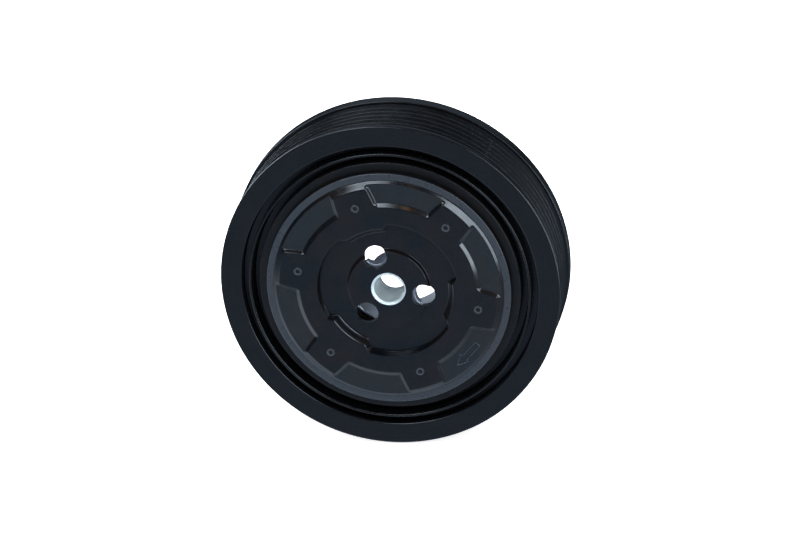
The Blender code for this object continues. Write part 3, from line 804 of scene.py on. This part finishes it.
def make_front_plate():
    """One pressed sheet: a window edge turned back to the hub, a plateau with pockets, and a rim. The pocket
    floors and the rim band carry lighter copies of the black coat: painted light.
    """
    columns = []
    for pad in range(PAD_COUNT):
        for zone, value in pad_columns():
            columns.append((PAD_ANGLE + pad * 360 / PAD_COUNT, zone, value))
    body = [25.4, 26.4, 27.5, 28.7, 29.8, 30.5, 30.85, 31.0, 31.1, 31.2, 31.3, 31.4, 31.7, 32.2, 32.5]
    body += [32.6, 32.7, 32.8, 32.9, 33.1, 33.6, 34.3, 35.2, 36.1, 37.0, 37.7, 38.0, 38.2, 38.4, 38.6, 38.8]
    body += [39.2, 39.5, 39.65, 39.75, 39.85, 39.95, 40.1, 40.3, 40.45, 40.58, 40.7, 40.82, 40.95, 41.2, 42.0]
    body = np.array(body)
    edge = 0.45
    corner = [
        (RIM_RADIUS - edge + edge * math.sin(a), RIM_LEVEL + 0.1 + edge * (1 - math.cos(a)))
        for a in np.radians(np.arange(0, 91, 11.25))
    ]
    corner += [(RIM_RADIUS, 0.1), (RIM_RADIUS - 0.15, 0.4), (RIM_RADIUS - 0.4, 0.5)]
    under = [(40.6, 0.5), (40.2, -0.1), (28.6, -0.1), (27.8, -0.7)]
    window_shares = np.linspace(0, 1, 17)
    vertices = []
    for middle, zone, value in columns:
        degrees = middle + plate_angle(zone, value, 25.0)
        lobe = float(lobe_share(degrees))
        foot = WINDOW_FOOT_WAIST + (WINDOW_FOOT_LOBE - WINDOW_FOOT_WAIST) * lobe
        top = WINDOW_TOP_WAIST + (WINDOW_TOP_LOBE - WINDOW_TOP_WAIST) * lobe
        blend = 0.24 - 0.10 * lobe
        row = []
        for share in window_shares:
            rise = float(soft_ramp(share, blend, 1 - blend, blend))
            depth = WINDOW_FOOT + (PLATEAU - WINDOW_FOOT) * rise
            row.append((foot + (top - foot) * share, depth, degrees))
        for radius in body:
            here = middle + plate_angle(zone, value, radius)
            row.append((radius, float(plate_depth(radius, here)), here))
        here = middle + plate_angle(zone, value, 41.5)
        row += [(radius, depth, here) for radius, depth in corner]
        row += [(radius, depth, here) for radius, depth in under]
        row.append((foot + 1.2, -0.84, degrees))
        vertices.append([world(*point) for point in row])
    count = len(vertices)
    rows = len(vertices[0])
    flat = [vertices[j][i] for i in range(rows) for j in range(count)]
    plate = new_object("front_plate_look", flat, grid_faces(rows, count), BLACK_COAT, 60)
    plate.data.materials.append(RIM_PAINTED_HIGHLIGHT_COAT)
    plate.data.materials.append(PAD_PAINTED_LIGHT_COAT)
    for face in plate.data.polygons:
        spot = face.center
        radius = math.hypot(spot.x, spot.z) / MM
        if spot.y > BELT_FRONT_Y:
            continue
        degrees = math.degrees(math.atan2(spot.z, spot.x))
        # The rim band takes the lighter coat: a painted highlight.
        if RIM_FOOT + 0.15 < radius < RIM_RADIUS - 0.12:
            face.material_index = 1
        # Pocket floors take the lighter coat: painted light.
        elif PAD_FLOOR_RADIUS < radius < PAD_OUTER and pad_share(radius, degrees) > PAD_FLOOR_SHARE:
            face.material_index = 2
    place(plate, "hub", ["front_plate"], weighted=False)


def make_arrow():
    """Raised outline of an arrow in one pocket, which shows the sense of rotation."""
    length, head, head_half, shaft_half = 11.2, 3.9, 2.0, 1.0
    corners = [
        (length / 2, 0), (length / 2 - head, head_half), (length / 2 - head, shaft_half),
        (-length / 2, shaft_half), (-length / 2, -shaft_half), (length / 2 - head, -shaft_half),
        (length / 2 - head, -head_half),
    ]
    turn = math.radians(ARROW_ANGLE)
    outward = Vector((math.cos(turn), 0, math.sin(turn)))
    along = Vector((math.sin(turn), 0, -math.cos(turn)))
    curve = bpy.data.curves.new("arrow_path", "CURVE")
    curve.dimensions = "3D"
    curve.bevel_depth = 0.00019
    curve.bevel_resolution = 3
    spline = curve.splines.new("POLY")
    points = []
    for index, (x, y) in enumerate(corners):
        after = corners[(index + 1) % len(corners)]
        for share in (0.04, 0.5, 0.96):
            points.append((x + (after[0] - x) * share, y + (after[1] - y) * share))
    spline.points.add(len(points) - 1)
    for point, (x, y) in zip(spline.points, points):
        spot = outward * (ARROW_CIRCLE + y) * MM + along * x * MM
        point.co = (spot.x, BELT_FRONT_Y + (PAD_FLOOR + 0.03) * MM, spot.z, 1)
    spline.use_cyclic_u = True
    holder = bpy.data.objects.new("arrow_holder", curve)
    bpy.context.scene.collection.objects.link(holder)
    bpy.context.view_layer.update()
    mesh = bpy.data.meshes.new_from_object(holder.evaluated_get(bpy.context.evaluated_depsgraph_get()))
    bpy.data.objects.remove(holder, do_unlink=True)
    # The arrow takes the rim's lighter coat: a painted highlight on its raised lines.
    finish_mesh(mesh, RIM_PAINTED_HIGHLIGHT_COAT, 60)
    arrow = bpy.data.objects.new("rotation_arrow", mesh)
    bpy.context.scene.collection.objects.link(arrow)
    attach(arrow, "hub")


def make_plate_rivets():
    """Hollow-ended rivets: a rolled ring with a dark pit in the middle."""
    front = PLATEAU - 0.09
    outline = [(0.001, PLATEAU + 0.7, 0.0), (0.60, PLATEAU + 0.7, 0.1), (0.78, front + 0.02, 0.14)]
    outline += [(1.25, front, 0.35), (1.62, PLATEAU + 0.1, 0.1), (1.3, 1.2, 0.0), (0.001, 1.2, 0.0)]
    profile = rounded(outline)
    for index, degrees in enumerate(RIVET_ANGLES):
        centre = world(RIVET_CIRCLE, 0, degrees)
        vertices = []
        for radius, depth in profile:
            for k in range(SMALL):
                angle = 2 * math.pi * k / SMALL
                x = centre.x + radius * math.cos(angle) * MM
                z = centre.z + radius * math.sin(angle) * MM
                vertices.append((x, BELT_FRONT_Y + depth * MM, z))
        name = f"plate_rivet_{index + 1}"
        rivet = new_object(f"{name}_look", vertices, grid_faces(len(profile), SMALL), RIVET_COAT)
        place(rivet, "hub", [name], weighted=False)


def make_hub_flange():
    step = []
    for share in np.linspace(0, 1, 15):
        fall = float(soft_ramp(share, 0.25, 0.75, 0.15))
        step.append((BOSS_RADIUS - 0.2 + 1.2 * share, BOSS_FACE + (FLANGE_FLOOR - BOSS_FACE) * fall, 0.0))
    outline = [
        (NOSE_RADIUS + 0.04, BOSS_FACE, 0.1),
        *step,
        (FLANGE_RADIUS_HUB, FLANGE_FLOOR, 0.2),
        (FLANGE_RADIUS_HUB, FLANGE_FLOOR + 1.6, 0.2),
        (BOSS_RADIUS - 0.4, FLANGE_FLOOR + 1.6, 0.3),
        (BOSS_RADIUS - 1.2, BOSS_FACE + 1.6, 0.3),
        (NOSE_RADIUS + 0.04, BOSS_FACE + 1.6, 0.1),
    ]
    flange = lathe("hub_flange_look", outline, BLACK_COAT, FINE)
    cutters = [
        hole_cutter(TOOL_HOLE_RADIUS, -5, 4, TOOL_HOLE_CIRCLE, a, BOSS_FACE, 0.22) for a in TOOL_HOLE_ANGLES
    ]
    carve(flange, cutters)
    place(flange, "hub", ["hub_flange"])


def make_hub_sleeve():
    """Steel bush: nose with the bore, a collar that the tool holes bite into, and a plain body."""

    def keyed(radii, depths, angles):
        """Widens the bore into the keyway at +x."""
        turn = np.radians(angles)
        half = math.degrees(math.asin(KEYWAY_HALF_WIDTH / KEYWAY_RADIUS))
        off = np.abs((angles + 180) % 360 - 180)
        key = KEYWAY_RADIUS / np.maximum(np.cos(turn), 0.5)
        return np.where((off < half + 0.01) & (radii < KEYWAY_RADIUS), key, radii)

    nose = [
        (SHAFT_RADIUS + 0.75, NOSE_FRONT, 0.06),
        (NOSE_RADIUS, NOSE_FRONT, 0.1),
        (NOSE_RADIUS, COLLAR_FRONT + 1.0, 0.0),
        (7.6, COLLAR_FRONT + 1.0, 0.0),
        (7.6, SLEEVE_END - 1.0, 0.0),
        (6.0, SLEEVE_END - 1.0, 0.0),
        (6.0, SLEEVE_END - 0.02, 0.0),
        (SHAFT_RADIUS + 0.4, SLEEVE_END - 0.02, 0.1),
        (SHAFT_RADIUS, SLEEVE_END - 0.4, 0.1),
        (SHAFT_RADIUS, NOSE_FRONT + 0.62, 0.15),
    ]
    half = math.degrees(math.asin(KEYWAY_HALF_WIDTH / KEYWAY_RADIUS))
    angles = np.linspace(half + 0.25, 360 - half - 0.25, 150)
    slot = np.linspace(-half, half, 9) % 360
    angles = np.sort(np.concatenate([angles, slot]))
    bush = lathe("hub_nose_look", nose, BRIGHT_STEEL, reach=keyed, angles=angles, sharp=35)

    collar = [
        (NOSE_RADIUS + 0.2, COLLAR_FRONT, 0.0),
        (COLLAR_RADIUS, COLLAR_FRONT, 0.3),
        (COLLAR_RADIUS, 2.4, 0.4),
        (SLEEVE_RADIUS, 3.4, 0.5),
        (SLEEVE_RADIUS, SLEEVE_END, 0.5),
        (NOSE_RADIUS + 0.2, SLEEVE_END, 0.2),
    ]
    body = lathe("hub_sleeve_look", collar, ROUGH_STEEL, 144)
    cutters = [
        hole_cutter(TOOL_HOLE_RADIUS, -3, 6, SCALLOP_CIRCLE, a, COLLAR_FRONT, 0.35) for a in TOOL_HOLE_ANGLES
    ]
    carve(body, cutters)
    place(bush, "hub", ["hub_sleeve"], weighted=False)
    place(body, "hub", ["hub_sleeve"])


# ---------------------------------------------------------------- coil side


def make_coil():
    case = [
        (CASE_RADIUS, CASE_FRONT, 0.3),
        (CASE_RADIUS, CASE_BACK, 2.2),
        (CASE_INNER, CASE_BACK, 2.0),
        (CASE_INNER, CASE_FRONT, 0.3),
        (CASE_INNER + 2.0, CASE_FRONT, 0.3),
        (CASE_INNER + 2.0, CASE_BACK - 2.0, 0.6),
        (CASE_RADIUS - 2.0, CASE_BACK - 2.0, 0.6),
        (CASE_RADIUS - 2.0, CASE_FRONT, 0.3),
    ]
    place(lathe("coil_case_look", case, ZINC), "coil_side", ["coil_case"])


def make_mount_plate():
    """Pressed plate with a stiffening step, a key notch, weld dimples and two locating holes."""
    outline = [
        (MOUNT_RADIUS, MOUNT_FRONT, 0.4),
        (MOUNT_RADIUS, MOUNT_BACK, 0.4),
        (MOUNT_INNER + 5.6, MOUNT_BACK, 0.5),
        (MOUNT_INNER + 4.9, MOUNT_BACK - 0.6, 0.5),
        (MOUNT_INNER, MOUNT_BACK - 0.6, 0.4),
        (MOUNT_INNER, MOUNT_FRONT, 0.4),
    ]
    plate = lathe("coil_mount_plate_look", outline, ZINC, FINE)
    cutters = []
    for index in range(6):
        degrees = 30 + index * 60
        cutters.append(hole_cutter(1.5, MOUNT_BACK - 0.35, MOUNT_BACK + 1, 38.0, degrees, columns=40))
    for degrees in (0.0, 180.0):
        cutters.append(hole_cutter(2.2, MOUNT_FRONT - 1, MOUNT_BACK + 1, 33.0, degrees, columns=48))
    notch = bmesh.new()
    bmesh.ops.create_cube(notch, size=1, matrix=Matrix.Diagonal((5 * MM, 10 * MM, 7 * MM, 1)))
    mesh = bpy.data.meshes.new("cutter")
    notch.to_mesh(mesh)
    notch.free()
    mesh.transform(Matrix.Translation(world(MOUNT_RADIUS - 1, MOUNT_BACK - 1, 90)))
    cube = bpy.data.objects.new("cutter", mesh)
    bpy.context.scene.collection.objects.link(cube)
    cutters.append(cube)
    carve(plate, cutters)
    place(plate, "coil_side", ["coil_mount_plate"])


def soft_block(name, low, high, material, bevel, inset=None):
    """A box with rounded edges; inset is the (wall, depth) of a socket in its underside."""
    shape = bmesh.new()
    size = [high[i] - low[i] for i in range(3)]
    middle = [(high[i] + low[i]) / 2 for i in range(3)]
    bmesh.ops.create_cube(shape, size=1, matrix=Matrix.Translation(middle) @ Matrix.Diagonal((*size, 1)))
    if inset:
        wall, depth = inset
        bottom = [f for f in shape.faces if f.normal.z < -0.5]
        bmesh.ops.inset_region(shape, faces=bottom, thickness=wall, depth=0)
        bmesh.ops.translate(shape, verts=list({v for f in bottom for v in f.verts}), vec=(0, 0, depth))
    bmesh.ops.bevel(
        shape, geom=shape.edges[:], offset=bevel, segments=3, profile=0.6, affect="EDGES", clamp_overlap=True
    )
    mesh = bpy.data.meshes.new(name)
    shape.to_mesh(mesh)
    shape.free()
    finish_mesh(mesh, material, 40)
    obj = bpy.data.objects.new(name, mesh)
    bpy.context.scene.collection.objects.link(obj)
    return obj


def make_connector():
    """Terminal housing under the mounting plate: body, collar and ribs, with two blades."""
    low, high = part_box("connector_body")
    body = soft_block("connector_body_look", low, high, PLASTIC, 0.0005, (0.0009, 0.004))
    place(body, "coil_side", ["connector_body"])
    collar_low = (low.x - 0.0007, low.y - 0.0006, high.z - 0.0032)
    collar_high = (high.x + 0.0007, min(high.y + 0.0004, CAD_BOX[1][1]), high.z - 0.0012)
    collar = soft_block("connector_collar", collar_low, collar_high, PLASTIC, 0.0004)
    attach(collar, "coil_side")
    for index, x in enumerate((-0.0045, 0.0, 0.0045)):
        rib_low = (x - 0.0004, low.y - 0.0005, low.z + 0.0008)
        rib_high = (x + 0.0004, low.y + 0.0004, high.z - 0.0034)
        rib = soft_block(f"connector_rib_{index + 1}", rib_low, rib_high, PLASTIC, 0.00018)
        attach(rib, "coil_side")
    for index in (1, 2):
        low_blade, high_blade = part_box(f"terminal_blade_{index}")
        blade = soft_block(
            f"terminal_blade_{index}_look", low_blade, (high_blade.x, high_blade.y, high_blade.z + 0.004),
            COPPER, 0.0003,
        )
        place(blade, "coil_side", [f"terminal_blade_{index}"])


def dress_cad_nodes():
    """The inner pieces keep their CAD shapes and get their own finishes."""
    finishes = {
        "ball_": BRIGHT_STEEL, "cage_": NYLON, "friction_lining": LINING, "bearing_snap_ring": SPRING_STEEL,
        "coil_bobbin": PLASTIC, "coil_winding": WIRE, "coil_resin": RESIN, "leaf_spring_": SPRING_STEEL,
        "armature_rivet_": ZINC,
    }
    for name, node in frame["nodes"].items():
        for start, material in finishes.items():
            if name.startswith(start):
                for holder in node.material_slots:
                    holder.material = material


# ---------------------------------------------------------------- stage


def make_stage():
    """A luminous white floor that the object does not mirror, and the world."""
    floor_mesh = bpy.data.meshes.new("floor")
    size = 6.0
    ground = CAD_BOX[0][2] - 0.0005
    corners = [(-size, -size, ground), (size, -size, ground), (size, size, ground), (-size, size, ground)]
    floor_mesh.from_pydata(corners, [], [(0, 1, 2, 3)])
    material, _, shader = new_material("floor_look", (0.93, 0.93, 0.93), 0.8, 0.0, 0.0)
    shader.inputs["Emission Color"].default_value = (1, 1, 1, 1)
    shader.inputs["Emission Strength"].default_value = 0.8
    floor_mesh.materials.append(material)
    floor = bpy.data.objects.new("floor", floor_mesh)
    bpy.context.scene.collection.objects.link(floor)
    floor.visible_glossy = False
    make_world()


def make_world():
    """A white studio to look at. The object mirrors a dim room over a white table instead."""
    sky = bpy.data.worlds.new("studio")
    sky.use_nodes = True
    tree = sky.node_tree
    background = tree.nodes["Background"]
    place_node = tree.nodes.new("ShaderNodeTexCoord")
    split = tree.nodes.new("ShaderNodeSeparateXYZ")
    tree.links.new(place_node.outputs["Generated"], split.inputs[0])
    below = fit_range(tree, split.outputs["Z"], 1, 0, -0.90, -0.44)
    rearward = fit_range(tree, split.outputs["Y"], 0, 1, -0.30, 0.35)
    low = mix_colour(tree, rearward, ROOM_LOW, ROOM_BACK)
    table = mix_colour(tree, below, low, TABLE)
    above = fit_range(tree, split.outputs["Z"], 0, 1, -0.22, 0.02)
    colour = mix_colour(tree, above, table, ROOM_HIGH)
    for direction, start, full, tint in ROOM_PATCHES:
        toward = tree.nodes.new("ShaderNodeVectorMath")
        toward.operation = "DOT_PRODUCT"
        toward.inputs[1].default_value = Vector(direction).normalized()
        tree.links.new(place_node.outputs["Generated"], toward.inputs[0])
        colour = mix_colour(tree, fit_range(tree, toward.outputs["Value"], 0, 1, start, full), colour, tint)
    ray = tree.nodes.new("ShaderNodeLightPath")
    shown = mix_colour(tree, ray.outputs["Is Glossy Ray"], (1, 1, 1), colour)
    tree.links.new(shown, background.inputs["Color"])
    background.inputs["Strength"].default_value = 1.0
    bpy.context.scene.world = sky


def softbox(name, direction, distance, width, height, radiance, roll=0.0, glossy_only=True):
    """An area light seen from the object along direction, which faces the object."""
    light = bpy.data.lights.new(name, "AREA")
    light.shape = "RECTANGLE"
    light.size = width
    light.size_y = height
    light.energy = radiance * math.pi * width * height
    light.color = SOFTBOX_TINT if glossy_only else (1, 1, 1)
    lamp = bpy.data.objects.new(name, light)
    toward = Vector(direction).normalized()
    turn = toward.to_track_quat("Z", "Y") @ Matrix.Rotation(math.radians(roll), 3, "Z").to_quaternion()
    lamp.rotation_euler = turn.to_euler()
    lamp.location = toward * distance
    lamp.visible_diffuse = not glossy_only
    bpy.context.scene.collection.objects.link(lamp)


def direction_of(azimuth, elevation):
    """Direction from the object: azimuth is to the right of the front, both in degrees."""
    turn, rise = math.radians(azimuth), math.radians(elevation)
    return math.sin(turn) * math.cos(rise), -math.cos(turn) * math.cos(rise), math.sin(rise)


def make_lights():
    softbox("softbox_left", direction_of(-21.0, 38.0), LIGHT_DISTANCE, 0.50, 0.46, 18.0, 20.0)
    softbox("softbox_right", direction_of(44.0, 14.0), LIGHT_DISTANCE, 0.34, 1.20, 18.0, 20.0)
    softbox("wing_left", (-0.88, 0.36, 0.28), LIGHT_DISTANCE, 0.60, 1.50, 20.0)
    softbox("wing_right", (0.93, 0.30, 0.0), LIGHT_DISTANCE, 0.50, 1.00, 13.0)
    softbox("top_left", (-0.45, 0.15, 0.88), LIGHT_DISTANCE, 0.60, 0.60, 7.0)
    softbox("warm_lamp", direction_of(7.0, 38.0), LIGHT_DISTANCE, 0.06, 0.12, 14.0)
    bpy.data.objects["warm_lamp"].data.color = WARM_TINT
    softbox("overhead", (0.0, -0.35, 1.0), 2.6, 3.0, 3.0, 6.0, glossy_only=False)
    bpy.data.objects["overhead"].visible_glossy = False


def make_camera():
    data = bpy.data.cameras.new("camera")
    data.sensor_width = 36.0
    data.lens = CAMERA_LENS
    data.clip_start = 0.01
    data.clip_end = 50.0
    camera = bpy.data.objects.new("camera", data)
    right = Vector(CAMERA_RIGHT)
    up = Vector(CAMERA_UP)
    back = right.cross(up).normalized()
    up = back.cross(right).normalized()
    right.normalize()
    turn = Matrix((right, up, back)).transposed().to_4x4()
    camera.matrix_world = Matrix.Translation(CAMERA_PLACE) @ turn
    bpy.context.scene.collection.objects.link(camera)
    bpy.context.scene.camera = camera


make_camera()
make_belt_ring()
make_rotor()
make_bearing()
make_armature()
make_front_plate()
make_arrow()
make_plate_rivets()
make_hub_flange()
make_hub_sleeve()
make_coil()
make_mount_plate()
make_connector()
dress_cad_nodes()
make_stage()
make_lights()
bpy.context.scene.view_settings.view_transform = "Standard"
